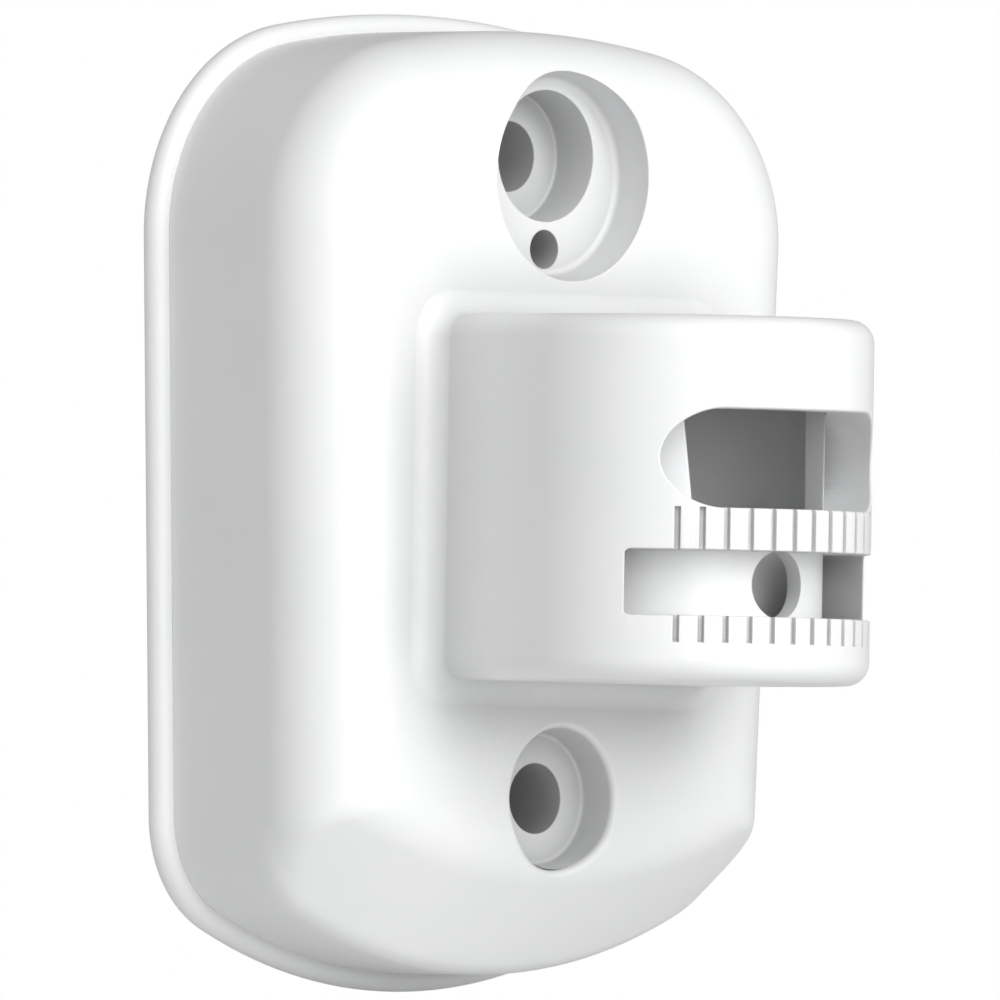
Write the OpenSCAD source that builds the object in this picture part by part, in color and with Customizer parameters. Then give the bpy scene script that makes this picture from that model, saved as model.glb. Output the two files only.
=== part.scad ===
// Wall bracket for a small camera: a domed housing on a wall plate, with a hollow
// drum that swivels inside the boss and carries the nut of the arm's lock screw.
// Frame: X to the right, Z up, Y into the wall. The wall plate's back face is Y = 0,
// and the origin is at the middle of that face, so the bracket grows towards -Y.

/* [Wall plate] */
// Height of the wall plate
plate_h = 62.4; // [58:0.1:70]
// Half of the plate's width, measured across its upper corners
plate_top_half_w = 22.8; // [21:0.1:26]
// Half of the plate's width, measured across its lower corners
plate_bottom_half_w = 21.5; // [20:0.1:24]
// Radius of the upper corners
top_corner_r = 13.5; // [12:0.5:15]
// Radius of the lower corners
bottom_corner_r = 8; // [7.5:0.5:10]
// Radius of the crowned top edge
top_crown_r = 68; // [60:1:90]
// Radius of the crowned bottom edge
bottom_crown_r = 40; // [36:1:60]
// Thickness of the rim that shows around the housing
rim_t = 1.25; // [1:0.05:2]
// How far the rim stands out beyond the housing
rim_margin = 1.15; // [0.8:0.05:1.5]
// Height of the raised inner platform above the wall
platform_z = 3.2; // [3:0.1:4]
// Depth of the relief pockets in the back face
relief_depth = 1.2; // [0.6:0.1:1.4]

/* [Housing] */
// Distance of the housing's front face from the wall
front_z = 15.75; // [15:0.05:17]
// Wall thickness of the housing
shell_t = 2.2; // [1.8:0.1:2.4]
// Radius of the front edge along the sides and the top
side_round = 5.75; // [4.5:0.05:6]
// Height of the 45 degree slope that runs along the bottom of the front
slope_h = 6.95; // [5:0.05:7.5]
// Radius of that slope's front edge
slope_round = 4.5; // [3.5:0.1:5]
// Radius of that slope's lower edge
slope_low_round = 2.5; // [2.4:0.1:4]

/* [Screw holes] */
// Height of the upper wall screw above the centre
top_screw_y = 22.1; // [21:0.1:23]
// Height of the lower wall screw, below the centre
bottom_screw_y = -18.8; // [-20:0.1:-18]
// Radius of the wall screws' holes
wall_screw_r = 2.25; // [2:0.05:2.5]
// Radius of the wall screws' head pockets
head_pocket_r = 4.2; // [4:0.1:4.6]
// How much wider the lower pocket is at the front face
pocket_flare = 0.3; // [0:0.05:0.5]
// Height of the upper recess's centre
recess_y = 20.8; // [20:0.1:21]
// Radius of the upper recess at its floor
recess_r = 6.35; // [5.9:0.05:6.5]
// How much wider the recess is at the front face
recess_flare = 0.35; // [0.2:0.05:0.6]
// Distance of the recess floor from the wall
recess_floor_z = 13.15; // [12.5:0.05:13.5]
// Distance of the upper screw's seat from the wall
top_seat_z = 9.75; // [9:0.05:10.5]
// Height of the small cover-pin hole
pin_hole_y = 16.15; // [16:0.05:16.4]
// Radius of the small cover-pin hole
pin_hole_r = 1.24; // [1:0.02:1.3]

/* [Boss] */
// Radius of the boss's round front
boss_r = 12.15; // [12:0.05:13]
// Distance of the swivel axis from the wall
axis_depth = 25.95; // [25.5:0.05:27]
// Underside of the boss
boss_low = -11.45; // [-12:0.05:-11.2]
// Top of the boss
boss_high = 11.75; // [11.5:0.05:12.2]
// Rounding of the boss's upper and lower edges
boss_round = 1.5; // [1:0.1:2]
// Radius of the bore that the drum turns in
bore_r = 9.15; // [9.1:0.01:9.18]
// Lowest point of the bore
bore_low = -9.7; // [-9.8:0.1:-9.5]
// Highest point of the bore
bore_high = 9.9; // [9.8:0.1:10]

/* [Slots] */
// Height of the cable slot's middle
cable_slot_z = 2.7; // [2.5:0.1:2.9]
// Half of the cable slot's height
cable_slot_r = 3.14; // [3:0.02:3.2]
// Half of the cable slot's width, to the tips of its round ends
cable_slot_half_w = 9.28; // [9:0.02:9.4]
// Height of the lock slot's middle
lock_slot_z = -5.2; // [-5.3:0.05:-5.1]
// Height of the lock slot
lock_slot_h = 4.16; // [4.1:0.02:4.3]
// Half of the lock slot's width
lock_slot_half_w = 10.55; // [10.4:0.05:10.7]
// Largest swing of the arm to each side
swing = 45; // [40:1:46]
// Angle between neighbouring serrations
serration_step = 7.5; // [5:0.5:9]
// Width of a serration
serration_w = 0.4; // [0.3:0.05:0.5]
// Depth of a serration
serration_depth = 0.3; // [0.2:0.05:0.4]
// Bottom of the lower row of serrations
serration_low = -9.0; // [-9.4:0.1:-8.6]

/* [Drum] */
// Outer radius of the drum
drum_r = 9.1; // [9.05:0.01:9.12]
// Wall thickness of the drum
drum_t = 1.2; // [1:0.1:1.5]
// Radius of the lock screw's hole in the drum
lock_hole_r = 2.17; // [2.1:0.01:2.25]
// Half of the drum window's width at the height of the cable slot's middle
window_half_w = 6.03; // [5.5:0.01:6.2]
// Lean of the window's sides from upright
window_lean = 4.75; // [0:0.25:6]
// Thickness of each thrust washer
washer_t = 0.4; // [0.3:0.1:0.6]

/* [Hidden] */
$fn = 96;

// Running and assembly gaps
gap = 0.05;
screw_gap = 0.03;
loose_gap = 0.2;
// How far a cut runs past the face that it opens through
past = 1;

// Corner and crown centres of the outline
top_corner = [
    plate_top_half_w - top_corner_r,
    plate_h / 2 - top_crown_r + sqrt(
        pow(top_crown_r - top_corner_r, 2) - pow(plate_top_half_w - top_corner_r, 2)
    )
];
bottom_corner = [
    plate_bottom_half_w - bottom_corner_r,
    bottom_crown_r - plate_h / 2 - sqrt(
        pow(bottom_crown_r - bottom_corner_r, 2)
        - pow(plate_bottom_half_w - bottom_corner_r, 2)
    )
];
top_crown_y = plate_h / 2 - top_crown_r;

// The straight side: the direction that it faces, and its distance from the origin
side_span = top_corner - bottom_corner;
side_turn = atan2(side_span.y, side_span.x) - acos((bottom_corner_r - top_corner_r) / norm(side_span));
side_offset = top_corner * [cos(side_turn), sin(side_turn)] + top_corner_r;

// At the front, the slope has a flatter crown and meets the sides in tight corners
front_crown_r = 42;
front_corner_r = 1.3;

// Screws that hold the wall plate to the housing
post_x = 14.6;
post_y = 14;
post_r = 2.7;
plate_pilot_r = 1.05;
plate_pilot_z = 12;
plate_hole_r = 1.45;
plate_pocket_z = 1.4;
plate_screw_head_r = 2.5;
plate_screw_head_t = 1.2;
plate_screw_len = 9;
plate_pocket_r = plate_screw_head_r + loose_gap;

// Pillars around the wall screws
pocket_wall = 1.6;
pillar_r = head_pocket_r + pocket_wall;
pillar_top_z = front_z - shell_t + loose_gap;
recess_wall = 0.8;
recess_pad_r = recess_r + recess_flare + recess_wall;
recess_pad_t = 2;
pin_socket_r = pin_hole_r + 1.2;
pin_socket_depth = 5;
pin_floor_t = 1;

// Drum keeper and its screws
keeper_seat_back = 4;
keeper_flange_t = 2;
keeper_flange_half_w = 13.6;
keeper_flange_half_h = 11;
keeper_screw_x = (bore_r + boss_r) / 2;
keeper_screw_y = 7.6;
keeper_pilot_r = 0.85;
keeper_pilot_z = 19.55;
keeper_hole_r = 1;
keeper_screw_head_r = 1.7;
keeper_screw_head_t = 1.2;
keeper_screw_len = 7;
channel_end_z = front_z - shell_t - 1;
cable_port_half_w = 3;
cable_port_low = -8.2;
cable_port_high = -1.6;

// Drum details
drum_low = bore_low + washer_t + gap;
drum_high = bore_high - washer_t - gap;
window_low = -1.4;
window_high = 7.2;
slot_back = 1.5;
washer_r = drum_r - 0.1;
rear_port_angle = 60;

// Lock nut, M4
nut_across_flats = 7;
nut_t = 3.2;
nut_bore_r = 1.65;
nut_front = 3.4;
bridge_front = 4.4;
bridge_back = -1;
bridge_high = -1;

// Cable grommet
grommet_hole_r = 6;
grommet_flange_r = 7.4;
grommet_flange_t = 0.9;
grommet_bore_r = 3.6;
grommet_web_z = 1.1;
grommet_pocket_r = grommet_flange_r + loose_gap;

// ---- Outlines ----

// Turns a shape drawn on a table, with its height along Z, to stand out from the wall.
module on_wall() {
    rotate([90, 0, 0]) children();
}

// Moves a shape drawn around the Z axis to the swivel axis.
module at_swivel() {
    translate([0, -axis_depth, 0]) children();
}

function arc(centre, r, from, to, steps) = [
    for (i = [0 : steps])
        let (a = from + (to - from) * i / steps)
        [centre.x + r * cos(a), centre.y + r * sin(a)]
];

// The points without those that repeat the one before.
function distinct(points) = [
    for (i = [0 : len(points) - 1])
        if (i == 0 || norm(points[i] - points[max(0, i - 1)]) > 0.001)
            points[i]
];

// Right half of the crowned and tapered outline, from the bottom to the top. It lies inset
// within the plate's top and sides and low_inset above its bottom, which has the given radii.
function right_half(inset, low_inset, crown_r, corner_r) =
    let (
        crown = [0, crown_r + low_inset - plate_h / 2],
        reach = crown_r - corner_r,
        gap_to_side = side_offset - inset - corner_r - crown.y * sin(side_turn),
        turn = side_turn - acos(gap_to_side / reach),
        corner = crown + reach * [cos(turn), sin(turn)],
        top_turn = atan2(top_corner.y - top_crown_y, top_corner.x)
    )
    distinct(concat(
        arc(crown, crown_r, -90, turn, 4),
        arc(corner, corner_r, turn, side_turn, 8),
        arc(top_corner, top_corner_r - inset, side_turn, top_turn, 10),
        arc([0, top_crown_y], top_crown_r - inset, top_turn, 90, 3)
    ));

// A right half and its mirror image, anticlockwise.
function whole(half) =
    let (last = len(half) - 2)
    concat(half, [for (i = [last : -1 : 1]) [-half[i].x, half[i].y]]);

module outline(inset) {
    polygon(whole(right_half(inset, inset, bottom_crown_r - inset, bottom_corner_r - inset)));
}

// Inset of a rounded edge of radius r at height z, under a face at height top.
function round_inset(z, top, r) =
    z <= top - r ? 0 : r - sqrt(max(0, r * r - pow(z - top + r, 2)));

// Inset of a 45 degree slope of height h at height z. Its lower edge is rounded by low_r
// and its front edge by r.
function slope_inset(z, top, h, low_r, r) =
    let (
        rise = r * (1 - cos(45)),
        low = top - h - low_r * tan(22.5)
    )
    z <= low ? 0
    : z <= low + low_r * sin(45) ? low_r - sqrt(low_r * low_r - pow(z - low, 2))
    : z <= top - rise ? z - top + h
    : h + r * tan(22.5) - sqrt(max(0, r * r - pow(z - top + r, 2)));

// Smooth step from 0 to 1 as t goes from 0 to 1.
function ease(t) =
    let (u = min(1, max(0, t)))
    u * u * (3 - 2 * u);

function mix(from, to, share) = from + (to - from) * share;

// A domed block on the plane z = base, pulled in by inset from the plate's outline.
// Its front edge is rounded by side_r, and has a rounded slope of height slope along the bottom.
module dome(base, top, inset, side_r, slope, slope_low_r, slope_r) {
    steps = 9;
    crest = 2;
    reach = slope + slope_low_r * tan(22.5);
    levels = concat([base], [for (i = [0 : steps]) top - reach * (1 - sin(90 * i / steps))]);
    rings = [
        for (z = levels)
            let (
                side_in = round_inset(z, top, side_r),
                bottom_in = slope_inset(z, top, slope, slope_low_r, slope_r),
                share = ease((z - top + reach) / (reach - crest)),
                crown_r = mix(bottom_crown_r - inset, front_crown_r, share),
                corner_r = mix(bottom_corner_r - inset, front_corner_r, share),
                half = right_half(inset + side_in, inset + bottom_in, crown_r, corner_r)
            )
            [for (p = whole(half)) [p.x, p.y, z]]
    ];
    n = len(rings[0]);
    walls = [
        for (k = [0 : len(rings) - 2], i = [0 : n - 1])
            let (
                a = k * n + i,
                b = k * n + (i + 1) % n
            )
            each [[a, a + n, b], [b, a + n, b + n]]
    ];
    floor_face = [for (i = [0 : n - 1]) i];
    top_face = [for (i = [n - 1 : -1 : 0]) (len(rings) - 1) * n + i];
    polyhedron(points = [for (ring = rings) each ring], faces = concat(walls, [floor_face, top_face]));
}

// ---- Wall plate ----

// Back plate: a thin beaded rim, and a platform that locates inside the housing.
module wall_plate() {
    platform_inset = rim_margin + shell_t + loose_gap;
    through = platform_z + 2 * past;
    color("white")
    on_wall()
    difference() {
        union() {
            linear_extrude(rim_t) outline(0);
            linear_extrude(platform_z) outline(platform_inset);
        }
        back_relief();
        for (y = [top_screw_y, bottom_screw_y])
            translate([0, y, -past]) cylinder(r = wall_screw_r, h = through);
        at_posts() {
            translate([0, 0, -past]) cylinder(r = plate_hole_r, h = through);
            translate([0, 0, -past]) cylinder(r = plate_pocket_r, h = plate_pocket_z + past);
        }
        translate([0, 0, -past]) cylinder(r = grommet_hole_r, h = through);
        translate([0, 0, -past]) cylinder(r = grommet_pocket_r, h = grommet_web_z + past);
        translate([0, 0, platform_z - grommet_flange_t])
            cylinder(r = grommet_pocket_r, h = grommet_flange_t + past);
    }
}

// Shallow pockets in the back face, with rings left around every hole.
module back_relief() {
    rib_w = 1.6;
    post_angle = atan2(post_y, post_x);
    post_span = 2 * norm([post_x, post_y]);
    translate([0, 0, -past])
    linear_extrude(relief_depth + past)
    difference() {
        outline(rim_margin + shell_t + pocket_wall);
        for (y = [top_screw_y, bottom_screw_y])
            translate([0, y]) circle(r = pillar_r);
        at_posts() circle(r = plate_pocket_r + pocket_wall);
        circle(r = grommet_pocket_r + pocket_wall);
        square([rib_w, plate_h], center = true);
        square([2 * plate_top_half_w, rib_w], center = true);
        for (a = [-post_angle, post_angle])
            rotate(a) square([post_span, rib_w], center = true);
    }
}

module at_posts() {
    for (x = [-post_x, post_x], y = [-post_y, post_y])
        translate([x, y, 0]) children();
}

// ---- Housing ----

// Front shell with the swivel boss, the pillars for the wall screws and four posts.
module housing() {
    color("white")
    difference() {
        union() {
            on_wall() shell();
            on_wall() supports();
            boss();
        }
        drum_channel();
        on_wall() screw_cuts();
        at_swivel() cable_slot();
        at_swivel() lock_slot();
        at_swivel() serrations();
    }
}

module shell() {
    cavity_inset = rim_margin + shell_t;
    cavity_top = front_z - shell_t;
    cavity_side_round = side_round - shell_t;
    cavity_slope_h = slope_h - shell_t / 2;
    cavity_round = slope_round - shell_t;
    difference() {
        dome(rim_t, front_z, rim_margin, side_round, slope_h, slope_low_round, slope_round);
        dome(0, cavity_top, cavity_inset, cavity_side_round, cavity_slope_h, cavity_round, cavity_round);
    }
}

// Pillars, posts and pads inside the shell, all ending inside its front wall.
module supports() {
    foot_z = platform_z + gap;
    for (y = [top_screw_y, bottom_screw_y])
        translate([0, y, foot_z]) cylinder(r = pillar_r, h = pillar_top_z - foot_z);
    translate([0, recess_y, recess_floor_z - recess_pad_t])
        cylinder(r = recess_pad_r, h = pillar_top_z - recess_floor_z + recess_pad_t);
    translate([0, pin_hole_y, recess_floor_z - pin_socket_depth - pin_floor_t])
        cylinder(r = pin_socket_r, h = pin_socket_depth + pin_floor_t);
    at_posts()
        translate([0, 0, foot_z]) cylinder(r = post_r, h = pillar_top_z - foot_z);
}

// Boss: a block with flat sides that runs out into a round front.
module boss() {
    height = boss_high - boss_low;
    root_z = front_z - shell_t / 2;
    at_swivel() rounded_puck(boss_r, boss_low, boss_high, boss_round);
    on_wall()
    translate([0, (boss_high + boss_low) / 2, root_z])
    linear_extrude(axis_depth - root_z)
    rounded_rectangle(2 * boss_r, height, boss_round);
}

// A disc with rounded upper and lower edges, standing on the Z axis.
module rounded_puck(r, low, high, edge) {
    rotate_extrude()
    union() {
        translate([0, low]) square([r - edge, high - low]);
        translate([0, low + edge]) square([r, high - low - 2 * edge]);
        for (z = [low + edge, high - edge])
            translate([r - edge, z]) circle(r = edge);
    }
}

module rounded_rectangle(w, h, r) {
    square([w - 2 * r, h], center = true);
    square([w, h - 2 * r], center = true);
    for (x = [r - w / 2, w / 2 - r], y = [r - h / 2, h / 2 - r])
        translate([x, y]) circle(r = r);
}

// Space for the drum and its keeper: a bore that opens straight back into the shell.
module drum_channel() {
    height = bore_high - bore_low;
    at_swivel()
        translate([0, 0, bore_low]) cylinder(r = bore_r, h = height);
    translate([-bore_r, -axis_depth, bore_low])
        cube([2 * bore_r, axis_depth - channel_end_z, height]);
}

// Everything that is drilled from the front or the back of the housing.
module screw_cuts() {
    reach = front_z + past;
    recess_depth = front_z - recess_floor_z + loose_gap;
    for (y = [top_screw_y, bottom_screw_y])
        translate([0, y, 0]) cylinder(r = wall_screw_r, h = reach);
    translate([0, recess_y, recess_floor_z])
        cylinder(r1 = recess_r, r2 = recess_r + recess_flare, h = recess_depth);
    translate([0, top_screw_y, top_seat_z]) cylinder(r = head_pocket_r, h = reach);
    translate([0, bottom_screw_y, recess_floor_z])
        cylinder(r1 = head_pocket_r, r2 = head_pocket_r + pocket_flare, h = recess_depth);
    translate([0, pin_hole_y, recess_floor_z - pin_socket_depth]) cylinder(r = pin_hole_r, h = reach);
    at_posts() cylinder(r = plate_pilot_r, h = plate_pilot_z);
    at_keeper_screws() cylinder(r = keeper_pilot_r, h = keeper_pilot_z);
}

module at_keeper_screws() {
    for (x = [-keeper_screw_x, keeper_screw_x], y = [-keeper_screw_y, keeper_screw_y])
        translate([x, y, 0]) children();
}

// Long slot with round ends, cut straight back into the bore.
module cable_slot() {
    centre_x = cable_slot_half_w - cable_slot_r;
    length = boss_r + past - slot_back;
    translate([0, -slot_back, cable_slot_z])
    rotate([90, 0, 0])
    for (x = [-centre_x, centre_x])
        translate([x, 0, 0]) cylinder(r = cable_slot_r, h = length);
    translate([-centre_x, -slot_back - length, cable_slot_z - cable_slot_r])
        cube([2 * centre_x, length, 2 * cable_slot_r]);
}

// Long slot with square ends, cut straight back past the sides of the bore.
module lock_slot() {
    length = boss_r + past - slot_back;
    translate([-lock_slot_half_w, -slot_back - length, lock_slot_z - lock_slot_h / 2])
        cube([2 * lock_slot_half_w, length, lock_slot_h]);
}

// Upright grooves in the round front, which the lock slot cuts into two rows.
module serrations() {
    serration_high = cable_slot_z - cable_slot_r;
    for (a = [-swing : serration_step : swing])
        rotate([0, 0, a])
        translate([-serration_w / 2, -boss_r - past, serration_low])
        cube([serration_w, past + serration_depth, serration_high - serration_low]);
}

// ---- Swivel ----

// Hollow drum: a window for the cable above, and a bridge that holds the lock nut below.
module swivel_drum() {
    color("whitesmoke")
    at_swivel()
    difference() {
        drum_blank();
        drum_window();
        rear_port();
        translate([0, 0, lock_slot_z]) rotate([90, 0, 0]) cylinder(r = lock_hole_r, h = drum_r + past);
        nut_pocket();
    }
}

module drum_blank() {
    height = drum_high - drum_low;
    inner_r = drum_r - drum_t;
    difference() {
        translate([0, 0, drum_low]) cylinder(r = drum_r, h = height);
        translate([0, 0, drum_low - past]) cylinder(r = inner_r, h = height + 2 * past);
    }
    intersection() {
        translate([0, 0, drum_low]) cylinder(r = drum_r - drum_t / 2, h = height);
        translate([-drum_r, -bridge_front, drum_low])
            cube([2 * drum_r, bridge_front - bridge_back, bridge_high - drum_low]);
    }
}

// Window in the drum's front, with sides that lean outwards towards the top.
module drum_window() {
    function half_w(z) = window_half_w + (z - cable_slot_z) * tan(window_lean);
    rotate([90, 0, 0])
    linear_extrude(drum_r + past)
    polygon([
        [-half_w(window_low), window_low],
        [half_w(window_low), window_low],
        [half_w(window_high), window_high],
        [-half_w(window_high), window_high]
    ]);
}

// Low opening at the drum's back that stays over the keeper's cable port through the swing.
module rear_port() {
    inner = drum_r - drum_t - past;
    outer = drum_r + past;
    rotate([0, 0, 90 - rear_port_angle])
    rotate_extrude(angle = 2 * rear_port_angle)
    translate([inner, cable_port_low]) square([outer - inner, cable_port_high - cable_port_low]);
}

// Slot that the nut slides into from the drum's lower end.
module nut_pocket() {
    half_w = nut_across_flats / 2 + gap;
    low = drum_low - past;
    top = lock_slot_z + nut_across_flats / 2 / cos(30) + gap;
    translate([-half_w, -nut_front, low]) cube([2 * half_w, nut_t + 2 * gap, top - low]);
}

// M4 hexagon nut, with its corners pointing up and down.
module lock_nut() {
    color("silver")
    at_swivel()
    translate([0, -nut_front + gap + nut_t, lock_slot_z])
    rotate([90, 0, 0])
    difference() {
        rotate(30) cylinder(r = nut_across_flats / 2 / cos(30), h = nut_t, $fn = 6);
        translate([0, 0, -past]) cylinder(r = nut_bore_r, h = nut_t + 2 * past);
    }
}

// Keeper behind the drum: the rear half of its bearing, with a flange and a cable port.
module drum_keeper() {
    seat_y = -axis_depth + keeper_seat_back;
    back_z = front_z - shell_t - gap;
    height = bore_high - bore_low - 2 * gap;
    color("gainsboro")
    difference() {
        union() {
            translate([-bore_r + gap, seat_y, bore_low + gap])
                cube([2 * (bore_r - gap), -seat_y - back_z + keeper_flange_t, height]);
            on_wall()
            translate([0, (bore_high + bore_low) / 2, back_z - keeper_flange_t])
            linear_extrude(keeper_flange_t)
            rounded_rectangle(2 * keeper_flange_half_w, 2 * keeper_flange_half_h, 2);
        }
        at_swivel()
            translate([0, 0, bore_low - past]) cylinder(r = bore_r, h = height + 2 * past);
        on_wall()
            at_keeper_screws() cylinder(r = keeper_hole_r, h = front_z);
        translate([-cable_port_half_w, -axis_depth, cable_port_low])
            cube([2 * cable_port_half_w, axis_depth, cable_port_high - cable_port_low]);
    }
}

module washer(low, hole_r) {
    color("tan")
    at_swivel()
    translate([0, 0, low])
    difference() {
        cylinder(r = washer_r, h = washer_t);
        translate([0, 0, -past]) cylinder(r = hole_r, h = washer_t + 2 * past);
    }
}

// Open ring above the drum.
module upper_thrust_washer() {
    washer(bore_high - washer_t, 6.5);
}

// Closed disc below the drum, which also keeps the lock nut in its pocket.
module lower_thrust_washer() {
    washer(bore_low, 2);
}

// ---- Fasteners and grommet ----

// A self-tapping screw with a pan head at z = 0 and its core pointing to +Z.
module pan_screw(core_r, length, head_r, head_t) {
    drive_w = 0.28 * head_r;
    drive_l = 1.15 * head_r;
    drive_depth = 0.6 * head_t;
    tip_len = 1;
    tip_r = 0.4 * core_r;
    difference() {
        union() {
            translate([0, 0, -head_t]) rounded_head(head_r, head_t);
            cylinder(r = core_r, h = length - tip_len);
            translate([0, 0, length - tip_len]) cylinder(r1 = core_r, r2 = tip_r, h = tip_len);
        }
        for (a = [0, 90])
            rotate(a)
            translate([-drive_l / 2, -drive_w / 2, -head_t - past])
            cube([drive_l, drive_w, past + drive_depth]);
    }
}

// A disc with its lower edge rounded.
module rounded_head(r, t) {
    edge = 0.4 * t;
    rotate_extrude()
    difference() {
        square([r, t]);
        difference() {
            translate([r - edge, edge - 2 * past]) square(2 * past);
            translate([r - edge, edge]) circle(r = edge);
            translate([r - edge, edge]) square(2 * past);
        }
    }
}

// Four screws through the keeper's flange into the sides of the boss.
module keeper_screws() {
    seat_z = front_z - shell_t - gap - keeper_flange_t;
    color("silver")
    on_wall()
    at_keeper_screws()
    translate([0, 0, seat_z - screw_gap])
    pan_screw(keeper_pilot_r - screw_gap, keeper_screw_len, keeper_screw_head_r, keeper_screw_head_t);
}

// Four screws from the back of the wall plate into the housing's posts.
module plate_screws() {
    color("silver")
    on_wall()
    at_posts()
    translate([0, 0, plate_pocket_z - gap])
    pan_screw(plate_pilot_r - screw_gap, plate_screw_len, plate_screw_head_r, plate_screw_head_t);
}

// Rubber bush that lines the cable hole in the wall plate.
module cable_grommet() {
    top = platform_z - gap;
    neck_low = grommet_web_z - screw_gap;
    neck_high = platform_z - grommet_flange_t + screw_gap;
    color("dimgray")
    on_wall()
    rotate_extrude()
    difference() {
        union() {
            square([grommet_flange_r, neck_low]);
            square([grommet_hole_r - gap, top]);
            translate([0, neck_high]) square([grommet_flange_r, top - neck_high]);
        }
        translate([0, -past]) square([grommet_bore_r, platform_z + 2 * past]);
    }
}

wall_plate();
housing();
swivel_drum();
drum_keeper();
keeper_screws();
upper_thrust_washer();
lower_thrust_washer();
lock_nut();
plate_screws();
cable_grommet();
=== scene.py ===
"""Looks of a small camera's wall bracket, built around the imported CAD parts.

Frame: X to the right, Z up, Y into the wall, with the wall plate's back face at Y = 0.
Shapes are drawn in millimetres. "Depth" is the distance from the wall, so Y = -depth.
"""

import math

import bmesh
import bpy
import numpy as np
from mathutils import Matrix, Vector


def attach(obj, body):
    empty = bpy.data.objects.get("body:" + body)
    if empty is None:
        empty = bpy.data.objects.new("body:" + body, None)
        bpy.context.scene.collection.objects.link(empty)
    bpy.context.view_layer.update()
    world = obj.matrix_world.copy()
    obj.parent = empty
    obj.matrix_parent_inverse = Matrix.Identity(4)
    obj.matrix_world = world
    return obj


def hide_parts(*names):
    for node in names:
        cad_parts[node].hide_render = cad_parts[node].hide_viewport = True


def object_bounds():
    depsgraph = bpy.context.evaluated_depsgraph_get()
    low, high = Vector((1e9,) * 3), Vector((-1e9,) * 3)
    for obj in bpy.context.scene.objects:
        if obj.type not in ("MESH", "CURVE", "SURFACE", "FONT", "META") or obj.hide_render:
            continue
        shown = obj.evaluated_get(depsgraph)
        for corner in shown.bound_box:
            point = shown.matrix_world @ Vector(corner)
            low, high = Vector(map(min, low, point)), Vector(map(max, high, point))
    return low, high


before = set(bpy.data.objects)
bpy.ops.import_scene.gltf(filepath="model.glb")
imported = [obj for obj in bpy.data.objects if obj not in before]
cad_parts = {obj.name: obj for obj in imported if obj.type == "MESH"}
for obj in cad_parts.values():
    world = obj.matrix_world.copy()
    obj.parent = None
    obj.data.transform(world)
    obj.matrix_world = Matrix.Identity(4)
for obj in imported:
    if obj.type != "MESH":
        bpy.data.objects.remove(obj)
cad_low, cad_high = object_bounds()

MM = 0.001

# ---- Dimensions of the bracket, in millimetres ----

PLATE_H = 62.4
TOP_HALF_W = 22.8
BOTTOM_HALF_W = 21.5
TOP_CORNER_R = 13.5
BOTTOM_CORNER_R = 8.0
TOP_CROWN_R = 68.0
BOTTOM_CROWN_R = 40.0
FRONT_CROWN_R = 42.0
FRONT_CORNER_R = 1.3
RIM_T = 1.25
RIM_MARGIN = 1.15
RIM_ROUND = 0.95
PLATE_EDGE = 0.15
PLATFORM_Z = 3.2
RELIEF_DEPTH = 1.2

FRONT_Z = 15.75
SHELL_T = 2.2
SIDE_ROUND = 5.75
SLOPE_ANGLE = math.radians(45)
SLOPE_H = 6.95
SLOPE_ROUND = 4.5
SLOPE_LOW_ROUND = 2.5
CREST = 2.0
PLATFORM_GAP = 0.2

TOP_SCREW_Y = 22.1
BOTTOM_SCREW_Y = -18.8
WALL_SCREW_R = 2.25
HEAD_POCKET_R = 4.2
POCKET_FLARE = 0.3
RECESS_Y = 20.8
RECESS_R = 6.35
RECESS_FLARE = 0.35
RECESS_WALL = 0.8
RECESS_PAD_T = 2.0
SUPPORT_OVERLAP = 0.2
RECESS_FLOOR_Z = 13.15
RECESS_SOFT = 0.45
RECESS_MOUTH = 0.12
FLARE_END = 1.0
TOP_SEAT_Z = 9.75
TOP_POCKET_SOFT = 0.2
TOP_POCKET_MOUTH = 0.02
BOTTOM_POCKET_SOFT = 0.25
BOTTOM_POCKET_MOUTH = 0.5
PIN_HOLE_Y = 16.15
PIN_HOLE_R = 1.24
PIN_DEPTH = 5.0
PIN_WALL = 1.2
PIN_FLOOR_T = 1.0

BOSS_R = 12.15
AXIS_DEPTH = 25.95
BOSS_LOW = -11.45
BOSS_HIGH = 11.75
BOSS_ROUND = 1.5
BORE_R = 9.15
BORE_LOW = -9.7
BORE_HIGH = 9.9
ROOT_FILLET = 1.75

CABLE_SLOT_Z = 2.7
CABLE_SLOT_R = 3.14
CABLE_SLOT_HALF_W = 9.28
CABLE_SLOT_MOUTH = 0.2
LOCK_SLOT_Z = -5.2
LOCK_SLOT_H = 4.16
LOCK_SLOT_HALF_W = 10.55
LOCK_SLOT_MOUTH = 0.12
LOCK_SLOT_CORNER = 0.25
SLOT_BACK = 1.5
SWING = 45.0
SERRATION_STEP = 7.5
SERRATION_W = 0.4
SERRATION_DEPTH = 0.3
SERRATION_LOW = -9.0
SERRATION_FOOT = 0.15

DRUM_R = 9.1
DRUM_T = 1.2
LOCK_HOLE_R = 2.17
WINDOW_HALF_W = 6.03
WINDOW_LEAN = 4.75
WINDOW_LOW = -1.4
WINDOW_HIGH = 7.2
WASHER_T = 0.4
GAP = 0.05
REAR_PORT_ANGLE = 60.0
PORT_LOW = -8.2
PORT_HIGH = -1.6
NUT_FLATS = 7.0
NUT_T = 3.2
NUT_FRONT = 3.4
BRIDGE_FRONT = 4.4
BRIDGE_BACK = -1.0
BRIDGE_HIGH = -1.0

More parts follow.
